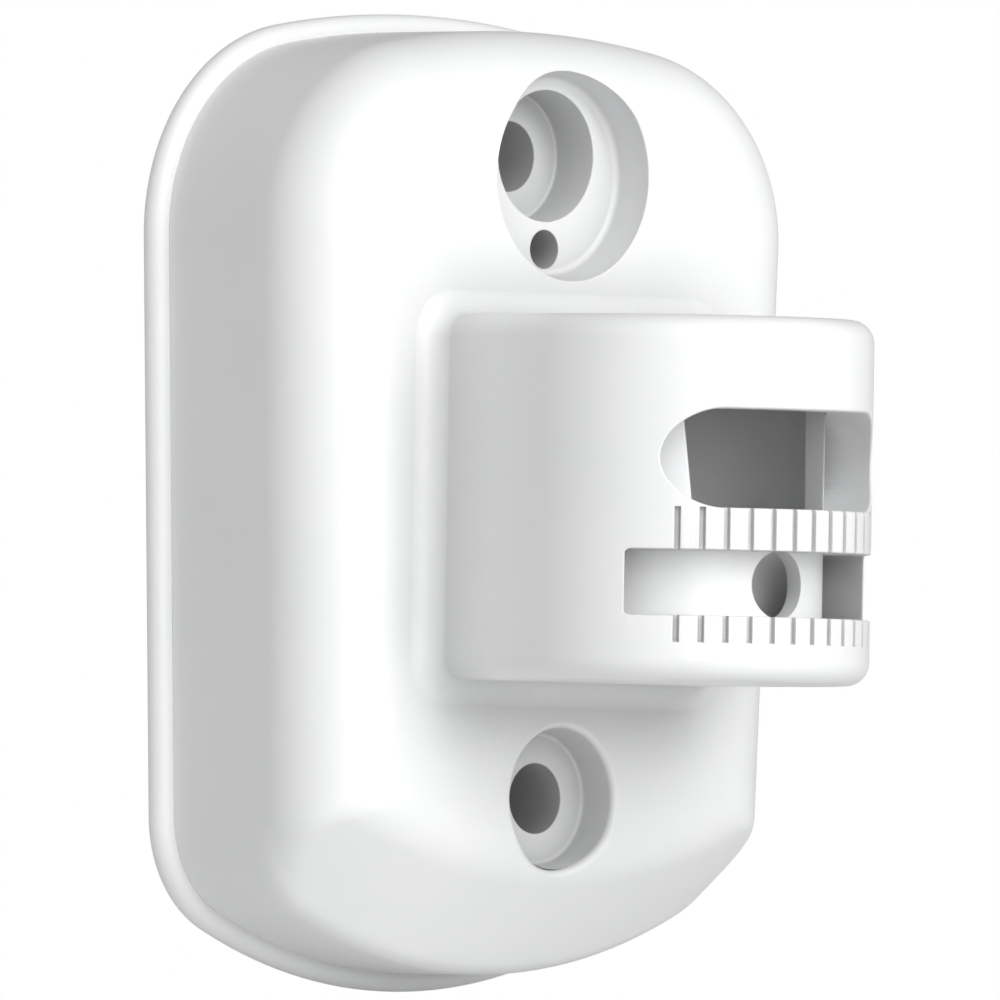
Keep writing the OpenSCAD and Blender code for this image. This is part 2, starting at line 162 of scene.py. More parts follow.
POST_X = 14.6
POST_Y = 14.0
POST_R = 2.7
POSTS = [(x, y) for x in (-POST_X, POST_X) for y in (-POST_Y, POST_Y)]
PLATE_PILOT_R = 1.05
PLATE_PILOT_Z = 12.0
PLATE_HOLE_R = 1.45
PLATE_POCKET_R = 2.7
PLATE_POCKET_Z = 1.4
KEEPER_SCREW_X = (BORE_R + BOSS_R) / 2
KEEPER_SCREW_Y = 7.6
KEEPER_PILOT_R = 0.85
KEEPER_PILOT_Z = 19.55
CHANNEL_PAST = 1.0
GROMMET_HOLE_R = 6.0
GROMMET_POCKET_R = 7.6
GROMMET_WEB_Z = 1.1
GROMMET_FLANGE_T = 0.9
POCKET_WALL = 1.6

# The small overlap between touching shapes, and how far cutters run past a surface.
LIP = 0.01
PAST = 1.0
SMOOTH_ANGLE = 35
NORMAL_WEIGHT = 80


# ---- Mesh tools ----


def arc(centre, r, start, end, steps):
    a = np.radians(np.linspace(start, end, steps + 1))
    return np.stack([centre[0] + r * np.cos(a), centre[1] + r * np.sin(a)], 1)


def circle(centre, r, steps=96):
    return arc(centre, r, 0, 360, steps)[:-1]


def on_wall(points, depth):
    """A ring drawn on the wall's face, moved out by depth (one number or one for each point)."""
    ring = np.zeros((len(points), 3))
    ring[:, 0] = points[:, 0]
    ring[:, 1] = -depth
    ring[:, 2] = points[:, 1]
    return ring


def around_axis(r, angle, z):
    """A ring in polar form around the swivel axis, with angle 0 facing away from the wall."""
    a = np.radians(angle)
    ring = np.zeros((len(a), 3))
    ring[:, 0] = r * np.sin(a)
    ring[:, 1] = -AXIS_DEPTH - r * np.cos(a)
    ring[:, 2] = z
    return ring


def loft(name, rings):
    """A closed solid through rings that all have the same number of points."""
    n = len(rings[0])
    verts = np.concatenate(rings)
    faces = [tuple(range(n)), tuple(range(len(verts) - n, len(verts)))]
    for k in range(len(rings) - 1):
        for i in range(n):
            a, b = k * n + i, k * n + (i + 1) % n
            faces.append((a, b, b + n, a + n))
    mesh = bpy.data.meshes.new(name)
    mesh.from_pydata(verts.tolist(), [], faces)
    bm = bmesh.new()
    bm.from_mesh(mesh)
    bmesh.ops.recalc_face_normals(bm, faces=bm.faces)
    bm.to_mesh(mesh)
    bm.free()
    obj = bpy.data.objects.new(name, mesh)
    bpy.context.scene.collection.objects.link(obj)
    return obj


def combine(target, tools, operation):
    """Joins tools to target or cuts them from it, and removes the tools."""
    for tool in tools:
        modifier = target.modifiers.new("combine", "BOOLEAN")
        modifier.operation = operation
        modifier.solver = "MANIFOLD"
        modifier.object = tool
        graph = bpy.context.evaluated_depsgraph_get()
        mesh = bpy.data.meshes.new_from_object(target.evaluated_get(graph))
        target.modifiers.clear()
        old = target.data
        target.data = mesh
        bpy.data.meshes.remove(old)
        bpy.data.objects.remove(tool)
    return target


def join(target, *tools):
    return combine(target, tools, "UNION")


def cut(target, *tools):
    return combine(target, tools, "DIFFERENCE")


def wall_cylinder(centre, r, low, high, steps=96):
    ring = circle(centre, r, steps)
    return loft("tool", [on_wall(ring, low), on_wall(ring, high)])


def axis_cylinder(r, low, high):
    angle = np.linspace(0, 360, 193)[:-1]
    return loft("tool", [around_axis(r, angle, low), around_axis(r, angle, high)])


def block(low, high):
    (x0, y0, z0), (x1, y1, z1) = low, high
    square = np.array([[x0, y0], [x1, y0], [x1, y1], [x0, y1]])
    rings = [np.column_stack([square, np.full(4, z)]) for z in (z0, z1)]
    return loft("tool", rings)


def finish_piece(obj, name, body, node, material):
    """Turns a solid drawn in millimetres into a finished piece that stands for a CAD node."""
    mesh = obj.data
    obj.name = name
    mesh.name = name
    mesh.transform(Matrix.Scale(MM, 4))
    mesh.shade_smooth()
    mesh.set_sharp_from_angle(angle=math.radians(SMOOTH_ANGLE))
    mesh.materials.clear()
    mesh.materials.append(material)
    normals = obj.modifiers.new("normals", "WEIGHTED_NORMAL")
    normals.keep_sharp = True
    normals.weight = NORMAL_WEIGHT
    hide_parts(node)
    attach(obj, body)
    return obj


# ---- Outline of the bracket ----


def corner_centre(half_w, corner_r, crown_r):
    x = half_w - corner_r
    return x, PLATE_H / 2 - crown_r + math.sqrt((crown_r - corner_r) ** 2 - x**2)


def side_line():
    """Direction that the straight side faces, in radians, and its distance from the origin."""
    top = corner_centre(TOP_HALF_W, TOP_CORNER_R, TOP_CROWN_R)
    low_x, low_y = corner_centre(BOTTOM_HALF_W, BOTTOM_CORNER_R, BOTTOM_CROWN_R)
    span = (top[0] - low_x, top[1] + low_y)
    lean = math.acos((BOTTOM_CORNER_R - TOP_CORNER_R) / math.hypot(*span))
    turn = math.atan2(span[1], span[0]) - lean
    return turn, top[0] * math.cos(turn) + top[1] * math.sin(turn) + TOP_CORNER_R


def outline(inset, low_inset=None, crown_r=None, corner_r=None, fine=1.0):
    """The crowned and tapered outline, shrunk by inset, and by low_inset at the bottom."""
    low_inset = inset if low_inset is None else low_inset
    crown_r = crown_r or BOTTOM_CROWN_R - inset
    corner_r = corner_r or BOTTOM_CORNER_R - inset
    side, offset = side_line()
    crown_y = crown_r + low_inset - PLATE_H / 2
    reach = crown_r - corner_r
    turn = side - math.acos((offset - inset - corner_r - crown_y * math.sin(side)) / reach)
    corner = (reach * math.cos(turn), crown_y + reach * math.sin(turn))
    top = corner_centre(TOP_HALF_W, TOP_CORNER_R, TOP_CROWN_R)
    top_crown_y = PLATE_H / 2 - TOP_CROWN_R
    top_turn = math.degrees(math.atan2(top[1] - top_crown_y, top[0]))
    turn, side = math.degrees(turn), math.degrees(side)
    steps = lambda n: max(3, round(n * fine))
    half = np.concatenate([
        arc((0, crown_y), crown_r, -90, turn, steps(20)),
        arc(corner, corner_r, turn, side, steps(24))[1:],
        arc(top, TOP_CORNER_R - inset, side, top_turn, steps(32)),
        arc((0, top_crown_y), TOP_CROWN_R - inset, top_turn, 90, steps(20))[1:],
    ])
    mirrored = half[-2:0:-1] * (-1, 1)
    return np.concatenate([half, mirrored])


def round_inset(z, top, r):
    """How far a side has drawn in at height z, where it is rounded by r into the top."""
    return 0.0 if z <= top - r else r - math.sqrt(max(0.0, r * r - (z - top + r) ** 2))


def slope_inset(z, top, h, low_r, r):
    """How far the bottom side has drawn in at height z, where it leans back in a rounded slope."""
    rise = r * (1 - math.cos(SLOPE_ANGLE))
    low = top - h - low_r * math.tan(SLOPE_ANGLE / 2)
    if z <= low:
        return 0.0
    if z <= low + low_r * math.sin(SLOPE_ANGLE):
        return low_r - math.sqrt(low_r * low_r - (z - low) ** 2)
    if z <= top - rise:
        return z - top + h
    return h + r * math.tan(SLOPE_ANGLE / 2) - math.sqrt(max(0.0, r * r - (z - top + r) ** 2))


def slope_reach(slope, slope_low_r):
    """Height from the slope's first rounding to the top."""
    return slope + slope_low_r * math.tan(SLOPE_ANGLE / 2)


def dome_levels(top, slope, slope_low_r, steps):
    """Heights of a dome's rings, closer together towards the top."""
    reach = slope_reach(slope, slope_low_r)
    return [top - reach * (1 - math.sin(math.pi / 2 * i / steps)) for i in range(steps + 1)]


def ease(t):
    """A smooth step from 0 to 1."""
    u = min(1.0, max(0.0, t))
    return u * u * (3 - 2 * u)


def dome_section(z, top, inset, side_r, slope, slope_low_r, slope_r):
    """Insets of the sides and the bottom, and radii of the lower crown and corners, at height z."""
    reach = slope_reach(slope, slope_low_r)
    share = ease((z - top + reach) / (reach - CREST))
    crown_r = BOTTOM_CROWN_R - inset
    corner_r = BOTTOM_CORNER_R - inset
    return (
        inset + round_inset(z, top, side_r),
        inset + slope_inset(z, top, slope, slope_low_r, slope_r),
        crown_r + (FRONT_CROWN_R - crown_r) * share,
        corner_r + (FRONT_CORNER_R - corner_r) * share,
    )


def dome(name, base, top, shape, steps, fine=1.0):
    """A domed block. shape is its inset, side rounding, slope height and the slope's two roundings."""
    rings = []
    for z in [base] + dome_levels(top, shape[2], shape[3], steps):
        rings.append(on_wall(outline(*dome_section(z, top, *shape), fine), z))
    return loft(name, rings)


OUTSIDE = (RIM_MARGIN, SIDE_ROUND, SLOPE_H, SLOPE_LOW_ROUND, SLOPE_ROUND)
CAVITY = (
    RIM_MARGIN + SHELL_T,
    SIDE_ROUND - SHELL_T,
    SLOPE_H - SHELL_T / 2,
    SLOPE_ROUND - SHELL_T,
    SLOPE_ROUND - SHELL_T,
)


def front_drop(x, y):
    """How far the front surface falls back at points low on the front, where the slope begins."""
    levels = np.array(dome_levels(FRONT_Z, SLOPE_H, SLOPE_LOW_ROUND, 200))
    low_inset, r = np.array([dome_section(z, FRONT_Z, *OUTSIDE) for z in levels])[:, 1:3].T
    centre = r + low_inset - PLATE_H / 2
    return np.array([
        FRONT_Z - np.interp(py, centre - np.sqrt(r * r - px * px), levels) for px, py in zip(x, y)
    ])


# ---- Housing ----


def hole_tool(centre, profile, mouth, follow=False):
    """A round cutter along the wall's axis. profile lists (radius, depth); the last one is the hole
    at the front, whose edge is rounded by mouth. follow makes the mouth follow the sloped front."""
    steps = 128
    rings = [on_wall(circle(centre, r, steps), z) for r, z in profile]
    r = profile[-1][0]
    ring = circle(centre, r + mouth, steps)
    drop = front_drop(ring[:, 0], ring[:, 1]) if follow else np.zeros(steps)
    for t in np.linspace(0, 90, 9):
        a = math.radians(t)
        flare = mouth * (1 - math.cos(a))
        z = FRONT_Z + LIP - mouth * (1 - math.sin(a))
        rings.append(on_wall(circle(centre, r + flare, steps), z - drop))
    rings.append(on_wall(ring, FRONT_Z + PAST))
    return loft("tool", rings)


def soft_floor(r, floor, soft, flare=0.0):
    """Profile of a blind hole whose wall runs into its floor with a small radius and then flares."""
    steps = 6
    points = []
    for i in range(steps + 1):
        a = math.pi / 2 * i / steps
        points.append((r - soft * (1 - math.sin(a)), floor + soft * (1 - math.cos(a))))
    if flare:
        points.append((r + flare, FRONT_Z - FLARE_END))
    return points


def boss_body():
    """The half-round boss in front of the shell, with its upper and lower edges rounded."""
    steps = 12
    bottom = []
    for i in range(steps + 1):
        a = math.pi / 2 * i / steps
        inset = BOSS_ROUND * (1 - math.sin(a))
        bottom.append((inset, BOSS_LOW + BOSS_ROUND * (1 - math.cos(a))))
    top = [(inset, BOSS_LOW + BOSS_HIGH - z) for inset, z in reversed(bottom)]
    rings = []
    for inset, z in bottom + top:
        r = BOSS_R - inset
        front = around_axis(r, np.linspace(-90, 90, 145), z)
        back = np.array([[r, -(FRONT_Z - SHELL_T / 2), z], [-r, -(FRONT_Z - SHELL_T / 2), z]])
        rings.append(np.concatenate([front, back]))
    return loft("tool", rings)


def rounded_rectangle(half_w, half_h, r):
    w, h = half_w - r, half_h - r
    corners = [((w, -h), -90), ((w, h), 0), ((-w, h), 90), ((-w, -h), 180)]
    return np.concatenate([arc(c, r, a, a + 90, 16) for c, a in corners])


def root_skirt():
    """The concave fillet all round the boss's root."""
    mid = (BOSS_HIGH + BOSS_LOW) / 2
    half_h = (BOSS_HIGH - BOSS_LOW) / 2
    rings = []
    for t in [None] + list(np.linspace(0, 90, 21)):
        if t is None:
            flare, z = ROOT_FILLET, FRONT_Z - SHELL_T / 2
        else:
            a = math.radians(t)
            flare = ROOT_FILLET * (1 - math.sin(a)) - LIP * math.sin(a)
            z = FRONT_Z - LIP + ROOT_FILLET * (1 - math.cos(a))
        shape = rounded_rectangle(BOSS_R + flare, half_h + flare, BOSS_ROUND + flare)
        rings.append(on_wall(shape + (0, mid), z))
    return loft("tool", rings)


def slot_tool(shape_at, mouth):
    """Cutter of a slot that runs straight back from the boss's round front, with a rounded mouth.
    shape_at gives the slot's outline, widened by a flare."""
    inner = shape_at(0.0)
    rings = [on_wall(inner, AXIS_DEPTH + SLOT_BACK)]
    for t in np.linspace(0, 90, 7):
        a = math.radians(t)
        r = BOSS_R + LIP / 2 - mouth * (1 - math.sin(a))
        shape = shape_at(mouth * (1 - math.cos(a)))
        rings.append(on_wall(shape, AXIS_DEPTH + np.sqrt(r * r - shape[:, 0] ** 2)))
    rings.append(on_wall(shape_at(mouth), AXIS_DEPTH + BOSS_R + PAST))
    return loft("tool", rings)


def with_long_sides(right_end, steps):
    """A slot's outline from the points of its right end, taken upwards, with finely divided sides."""
    x, z = right_end[-1]
    run = np.linspace(x, -x, steps + 2)[1:-1]
    top = np.column_stack([run, np.full(steps, z)])
    bottom = np.column_stack([-run, np.full(steps, right_end[0][1])])
    return np.concatenate([right_end, top, right_end[::-1] * (-1, 1), bottom])


def cable_slot():
    def shape_at(flare):
        centre = (CABLE_SLOT_HALF_W - CABLE_SLOT_R, CABLE_SLOT_Z)
        return with_long_sides(arc(centre, CABLE_SLOT_R + flare, -90, 90, 48), 63)

    return slot_tool(shape_at, CABLE_SLOT_MOUTH)


def lock_slot():
    def shape_at(flare):
        w = LOCK_SLOT_HALF_W - LOCK_SLOT_CORNER
        h = LOCK_SLOT_H / 2 - LOCK_SLOT_CORNER
        r = LOCK_SLOT_CORNER + flare
        low = arc((w, LOCK_SLOT_Z - h), r, -90, 0, 6)
        high = arc((w, LOCK_SLOT_Z + h), r, 0, 90, 6)
        return with_long_sides(np.concatenate([low, high]), 95)

    return slot_tool(shape_at, LOCK_SLOT_MOUTH)


def serration(angle):
    """One upright groove in the boss's round front, narrower at its floor, with a sloped lower end."""
    rings = []
    low_r = BOSS_R - SERRATION_DEPTH
    high = CABLE_SLOT_Z - CABLE_SLOT_R + LIP
    floor_w = 0.3 * SERRATION_W
    open_w = 0.5 * SERRATION_W
    for r, half_w in ((low_r, floor_w), (BOSS_R, open_w), (BOSS_R + PAST, open_w)):
        foot = SERRATION_LOW + 0.5 * (low_r - r) + SERRATION_FOOT
        a = math.degrees(half_w / BOSS_R)
        angles = np.array([-a, a, a, -a]) + angle
        rings.append(around_axis(r, angles, np.array([foot, foot, high, high])))
    return loft("tool", rings)


def add_supports(body):
    """Joins the pillars, pads and drilled posts inside the shell, which all end in its front wall."""
    top = FRONT_Z - SHELL_T + SUPPORT_OVERLAP
    foot = PLATFORM_Z + GAP
    for y in (TOP_SCREW_Y, BOTTOM_SCREW_Y):
        join(body, wall_cylinder((0, y), HEAD_POCKET_R + POCKET_WALL, foot, top))
    pad_r = RECESS_R + RECESS_FLARE + RECESS_WALL
    join(body, wall_cylinder((0, RECESS_Y), pad_r, RECESS_FLOOR_Z - RECESS_PAD_T, top))
    socket_foot = RECESS_FLOOR_Z - PIN_DEPTH - PIN_FLOOR_T
    join(body, wall_cylinder((0, PIN_HOLE_Y), PIN_HOLE_R + PIN_WALL, socket_foot, top, 48))
    for post in POSTS:
        join(body, wall_cylinder(post, POST_R, foot, top, 64))
        cut(body, wall_cylinder(post, PLATE_PILOT_R, 0, PLATE_PILOT_Z, 48))


def cut_channel(body):
    """Cuts the drum's bore, its way in from behind and the keeper's screw holes."""
    cut(body, axis_cylinder(BORE_R, BORE_LOW, BORE_HIGH))
    channel_end = CHANNEL_PAST - FRONT_Z + SHELL_T
    cut(body, block((-BORE_R, -AXIS_DEPTH, BORE_LOW), (BORE_R, channel_end, BORE_HIGH)))
    for x in (-KEEPER_SCREW_X, KEEPER_SCREW_X):
        for y in (-KEEPER_SCREW_Y, KEEPER_SCREW_Y):
            cut(body, wall_cylinder((x, y), KEEPER_PILOT_R, 0, KEEPER_PILOT_Z, 48))


def cut_front_holes(body):
    """Cuts the recess, both screws' pockets and holes, and the small pin hole."""
    outside = FRONT_Z + PAST
    recess = soft_floor(RECESS_R, RECESS_FLOOR_Z, RECESS_SOFT, RECESS_FLARE)
    top_pocket = soft_floor(HEAD_POCKET_R, TOP_SEAT_Z, TOP_POCKET_SOFT)
    low_pocket = soft_floor(HEAD_POCKET_R, RECESS_FLOOR_Z, BOTTOM_POCKET_SOFT, POCKET_FLARE)
    cut(body, hole_tool((0, RECESS_Y), recess, RECESS_MOUTH))
    cut(body, hole_tool((0, TOP_SCREW_Y), top_pocket, TOP_POCKET_MOUTH))
    cut(body, hole_tool((0, BOTTOM_SCREW_Y), low_pocket, BOTTOM_POCKET_MOUTH, True))
    cut(body, wall_cylinder((0, PIN_HOLE_Y), PIN_HOLE_R, RECESS_FLOOR_Z - PIN_DEPTH, outside, 64))
    for y in (TOP_SCREW_Y, BOTTOM_SCREW_Y):
        cut(body, wall_cylinder((0, y), WALL_SCREW_R, 0, outside))


def build_housing():
    body = dome("housing", RIM_T, FRONT_Z, OUTSIDE, 48)
    cut(body, dome("tool", 0, FRONT_Z - SHELL_T, CAVITY, 20, 0.5))
    join(body, root_skirt(), boss_body())
    add_supports(body)
    cut_channel(body)
    cut_front_holes(body)
    cut(body, cable_slot(), lock_slot())
    for angle in np.arange(-SWING, SWING + 1, SERRATION_STEP):
        cut(body, serration(angle))
    return body


# ---- Wall plate ----


def back_relief():
    """The shallow pockets in the plate's back, with pads and ribs left between them."""
    pocket_outline = outline(RIM_MARGIN + SHELL_T + POCKET_WALL)
    relief = loft("tool", [on_wall(pocket_outline, -PAST), on_wall(pocket_outline, RELIEF_DEPTH)])
    pads = [((0, y), HEAD_POCKET_R + POCKET_WALL) for y in (TOP_SCREW_Y, BOTTOM_SCREW_Y)]
    pads += [(post, PLATE_POCKET_R + POCKET_WALL) for post in POSTS]
    pads += [((0, 0), GROMMET_POCKET_R + POCKET_WALL)]
    for centre, r in pads:
        cut(relief, wall_cylinder(centre, r, -2 * PAST, 2 * PAST))
    half = POCKET_WALL / 2
    post_angle = math.degrees(math.atan2(POST_Y, POST_X))
    post_span = 2 * math.hypot(POST_X, POST_Y)
    ribs = [(90, PLATE_H), (0, PLATE_H), (post_angle, post_span), (-post_angle, post_span)]
    for angle, length in ribs:
        rib = block((-length / 2, -2 * PAST, -half), (length / 2, 2 * PAST, half))
        rib.data.transform(Matrix.Rotation(-math.radians(angle), 4, "Y"))
        cut(relief, rib)
    return relief


def build_plate():
    rings = [on_wall(outline(PLATE_EDGE), 0), on_wall(outline(0), PLATE_EDGE)]
    for t in np.linspace(0, 90, 13):
        a = math.radians(t)
        inset = RIM_ROUND * (1 - math.cos(a))
        rings.append(on_wall(outline(inset), RIM_T - RIM_ROUND * (1 - math.sin(a))))
    plate = loft("wall_plate", rings)
    platform = outline(RIM_MARGIN + SHELL_T + PLATFORM_GAP)
    join(plate, loft("tool", [on_wall(platform, RIM_T / 2), on_wall(platform, PLATFORM_Z)]))
    cut(plate, back_relief())
    outside = PLATFORM_Z + PAST
    for y in (TOP_SCREW_Y, BOTTOM_SCREW_Y):
        cut(plate, wall_cylinder((0, y), WALL_SCREW_R, -PAST, outside))
    for post in POSTS:
        cut(plate, wall_cylinder(post, PLATE_HOLE_R, -PAST, outside, 64))
        cut(plate, wall_cylinder(post, PLATE_POCKET_R, -PAST, PLATE_POCKET_Z, 64))
    cut(plate, wall_cylinder((0, 0), GROMMET_HOLE_R, -PAST, outside))
    cut(plate, wall_cylinder((0, 0), GROMMET_POCKET_R, -PAST, GROMMET_WEB_Z))
    cut(plate, wall_cylinder((0, 0), GROMMET_POCKET_R, PLATFORM_Z - GROMMET_FLANGE_T, outside))
    return plate


# ---- Swivel drum ----


def bridge_block(low):
    """The wall across the drum that holds the nut, from height low up."""
    bridge = axis_cylinder(DRUM_R - DRUM_T / 2, low, BRIDGE_HIGH)
    side = 2 * DRUM_R
    back = -AXIS_DEPTH - BRIDGE_BACK
    front = -AXIS_DEPTH - BRIDGE_FRONT
    above = BORE_HIGH - WASHER_T - GAP
    cut(bridge, block((-side, back, low - PAST), (side, 0, above)))
    cut(bridge, block((-side, -AXIS_DEPTH - side, low - PAST), (side, front, above)))
    return bridge


def window_tool():
    """Cutter of the drum's window, whose sides lean outwards towards the top."""
    lean = math.tan(math.radians(WINDOW_LEAN))
    low_w = WINDOW_HALF_W + (WINDOW_LOW - CABLE_SLOT_Z) * lean
    high_w = WINDOW_HALF_W + (WINDOW_HIGH - CABLE_SLOT_Z) * lean
    window = np.array([
        [-low_w, WINDOW_LOW],
        [low_w, WINDOW_LOW],
        [high_w, WINDOW_HIGH],
        [-high_w, WINDOW_HIGH],
    ])
    return loft("tool", [on_wall(window, AXIS_DEPTH), on_wall(window, AXIS_DEPTH + DRUM_R + PAST)])


def port_tool():
    """Cutter of the opening in the drum's back, where the cable comes in."""
    angles = np.linspace(180 - REAR_PORT_ANGLE, 180 + REAR_PORT_ANGLE, 49)
    inner = np.full(len(angles), DRUM_R - DRUM_T - PAST)
    outer = np.full(len(angles), DRUM_R + PAST)
    r = np.concatenate([inner, outer])
    angles = np.concatenate([angles, np.linspace(angles[-1], angles[0], len(angles))])
    return loft("tool", [around_axis(r, angles, z) for z in (PORT_LOW, PORT_HIGH)])


def nut_pocket(low):
    """Cutter of the slot that the nut slides up into from height low."""
    half = NUT_FLATS / 2 + GAP
    top = LOCK_SLOT_Z + NUT_FLATS / 2 / math.cos(math.radians(30)) + GAP
    front = -AXIS_DEPTH - NUT_FRONT
    return block((-half, front, low - PAST), (half, front + NUT_T + 2 * GAP, top))


def build_drum():
    low = BORE_LOW + WASHER_T + GAP
    high = BORE_HIGH - WASHER_T - GAP
    outside = AXIS_DEPTH + DRUM_R + PAST
    drum = axis_cylinder(DRUM_R, low, high)
    cut(drum, axis_cylinder(DRUM_R - DRUM_T, low - PAST, high + PAST))
    join(drum, bridge_block(low))
    cut(drum, window_tool())
    cut(drum, wall_cylinder((0, LOCK_SLOT_Z), LOCK_HOLE_R, AXIS_DEPTH, outside, 128))
    cut(drum, port_tool())
    cut(drum, nut_pocket(low))
    return drum


# ---- Materials ----

CLOUD_SCALE = 90.0
SHEEN_SCALE = 400.0
SHEEN_SPREAD = 0.05
GRAIN_STRENGTH = 0.25
PLASTIC_IOR = 1.5
# Reach and range of the painted shade in hollows.
SHADE_DISTANCE = 0.006
SHADE_CLOSED = 0.45
SHADE_OPEN = 0.95
NOISE_LOW = 0.3
NOISE_HIGH = 0.7


def node_material(name):
    material = bpy.data.materials.new(name)
    material.use_nodes = True
    tree = material.node_tree
    return material, tree, tree.nodes["Principled BSDF"]


def noise(tree, coords, scale, detail=2.0, rough=0.5):
    node = tree.nodes.new("ShaderNodeTexNoise")
    node.inputs["Scale"].default_value = scale
    node.inputs["Detail"].default_value = detail
    node.inputs["Roughness"].default_value = rough
    tree.links.new(coords, node.inputs["Vector"])
    return node.outputs["Fac"]


def spread(tree, value, low, high):
    """Stretches the middle of a noise over the range from low to high."""
    node = tree.nodes.new("ShaderNodeMapRange")
    node.inputs["From Min"].default_value = NOISE_LOW
    node.inputs["From Max"].default_value = NOISE_HIGH
    node.inputs["To Min"].default_value = low
    node.inputs["To Max"].default_value = high
    tree.links.new(value, node.inputs["Value"])
    return node.outputs["Result"]


def tint(tree, value, dark, light):
    node = tree.nodes.new("ShaderNodeMix")
    node.data_type = "RGBA"
    node.inputs["A"].default_value = (*dark, 1)
    node.inputs["B"].default_value = (*light, 1)
    tree.links.new(value, node.inputs["Factor"])
    return node.outputs["Result"]


def shaded(tree, colour, painted_shade_darkest):
    """The colour with painted shade: made darker where the surface is closed in, as in holes and
    slots, from an occlusion measure.
    """
    openness = tree.nodes.new("ShaderNodeAmbientOcclusion")
    openness.samples = 4
    openness.only_local = True
    openness.inputs["Distance"].default_value = SHADE_DISTANCE
    level = tree.nodes.new("ShaderNodeMapRange")
    level.inputs["From Min"].default_value = SHADE_CLOSED
    level.inputs["From Max"].default_value = SHADE_OPEN
    level.inputs["To Min"].default_value = painted_shade_darkest
    tree.links.new(openness.outputs["AO"], level.inputs["Value"])
    value = tree.nodes.new("ShaderNodeHueSaturation")
    tree.links.new(level.outputs["Result"], value.inputs["Value"])
    tree.links.new(colour, value.inputs["Color"])
    return value.outputs["Color"]


def moulded(name, dark, light, roughness, grain, grain_depth, edge=0.00015, metallic=0.0,
            stretch=None, painted_shade_darkest=None):
    """A moulded or machined surface: faint cloudy colour, uneven sheen, fine grain and soft edges,
    and, when a darkest level is given, painted shade darkening its holes and slots.
    """
    material, tree, shader = node_material(name)
    coords = tree.nodes.new("ShaderNodeTexCoord").outputs["Object"]
    if stretch:
        mapping = tree.nodes.new("ShaderNodeMapping")
        mapping.inputs["Scale"].default_value = stretch
        tree.links.new(coords, mapping.inputs["Vector"])
        coords = mapping.outputs["Vector"]
    cloud = spread(tree, noise(tree, coords, CLOUD_SCALE, 3.0), 0.0, 1.0)
    colour = tint(tree, cloud, dark, light)
    # Painted shade: darkens the colour in holes, slots and other hollows.
    if painted_shade_darkest is not None:
        colour = shaded(tree, colour, painted_shade_darkest)
    tree.links.new(colour, shader.inputs["Base Color"])
    uneven = noise(tree, coords, SHEEN_SCALE, 4.0)
    sheen = spread(tree, uneven, roughness - SHEEN_SPREAD, roughness + SHEEN_SPREAD)
    tree.links.new(sheen, shader.inputs["Roughness"])
    bevel = tree.nodes.new("ShaderNodeBevel")
    bevel.samples = 6
    bevel.inputs["Radius"].default_value = edge
    bump = tree.nodes.new("ShaderNodeBump")
    bump.inputs["Strength"].default_value = GRAIN_STRENGTH
    bump.inputs["Distance"].default_value = grain_depth
    tree.links.new(noise(tree, coords, grain, 3.0, 0.6), bump.inputs["Height"])
    tree.links.new(bevel.outputs["Normal"], bump.inputs["Normal"])
    tree.links.new(bump.outputs["Normal"], shader.inputs["Normal"])
    shader.inputs["Metallic"].default_value = metallic
    shader.inputs["IOR"].default_value = PLASTIC_IOR
    return material


WHITE = moulded(
    "white_plastic", (0.840, 0.845, 0.850), (0.860, 0.862, 0.865), 0.42, 5200.0, 0.00001,
    # Painted shade in holes and slots, down to 0.66 of the colour.
    painted_shade_darkest=0.66,
)
# The drum and its keeper are the same white plastic as the shell. This copy is painted lighter and has
# no painted shade, as painted light for the drum, which sits in shade inside the boss.
DRUM_WHITE = moulded(
    "drum_plastic", (0.895, 0.900, 0.905), (0.915, 0.918, 0.920), 0.36, 4200.0, 0.000008,
)
WASHER = moulded("washer_plastic", (0.60, 0.57, 0.50), (0.66, 0.63, 0.56), 0.3, 3000.0, 0.00001)
STEEL = moulded(
    "screw_steel", (0.50, 0.50, 0.51), (0.62, 0.62, 0.63), 0.3, 2500.0, 0.00001,
    edge=0.00008, metallic=1.0, stretch=(1, 0.15, 1),
)
RUBBER = moulded(
    "grommet_rubber", (0.030, 0.030, 0.032), (0.045, 0.045, 0.048), 0.65, 3500.0, 0.00003,
)


# ---- Pieces ----

finish_piece(build_housing(), "bracket_shell", "bracket", "housing", WHITE)
finish_piece(build_plate(), "bracket_plate", "bracket", "wall_plate", WHITE)
finish_piece(build_drum(), "drum_barrel", "swivel", "swivel_drum", DRUM_WHITE)

NODE_LOOKS = {
    "drum_keeper": DRUM_WHITE,
    "keeper_screws": STEEL,
    "plate_screws": STEEL,
    "lock_nut": STEEL,
    "upper_thrust_washer": WASHER,
    "lower_thrust_washer": WASHER,
    "cable_grommet": RUBBER,
}
for node, look in NODE_LOOKS.items():
    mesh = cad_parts[node].data
    mesh.materials.clear()
    mesh.materials.append(look)


# ---- Stage, light and camera ----

FLOOR_HALF_W = 3.0
FLOOR_DROP = 0.002
FLOOR_GLOW = 0.05
FLOOR_DARK = (0.90, 0.90, 0.90)
FLOOR_LIGHT = (0.92, 0.92, 0.92)
DOME_STRENGTH = 0.41
LIGHT_DISTANCE = 0.8
LIGHT_SIZE = 0.4
# Each light's azimuth, elevation and power.
LIGHTS = {
    "face": (0, 30, 1.2),
    "key": (-30, 35, 1.0),
    "high": (-30, 60, 0.45),
    "right": (10, 20, 1.15),
    "front": (-20, 5, 1.8),
}
CAMERA_AZIMUTH = -44.0
CAMERA_ELEVATION = -1.0
CAMERA_ROLL = 0.97
CAMERA_DISTANCE = 2.5
VIEW_WIDTH = 0.0637
AIM = Vector((0.0, -0.0095, 0.0002))


def direction(azimuth, elevation):
    """From the object towards a light or the camera: azimuth 0 is along -Y, and 90 along +X."""
    a, e = math.radians(azimuth), math.radians(elevation)
    return Vector((math.sin(a) * math.cos(e), -math.cos(a) * math.cos(e), math.sin(e)))


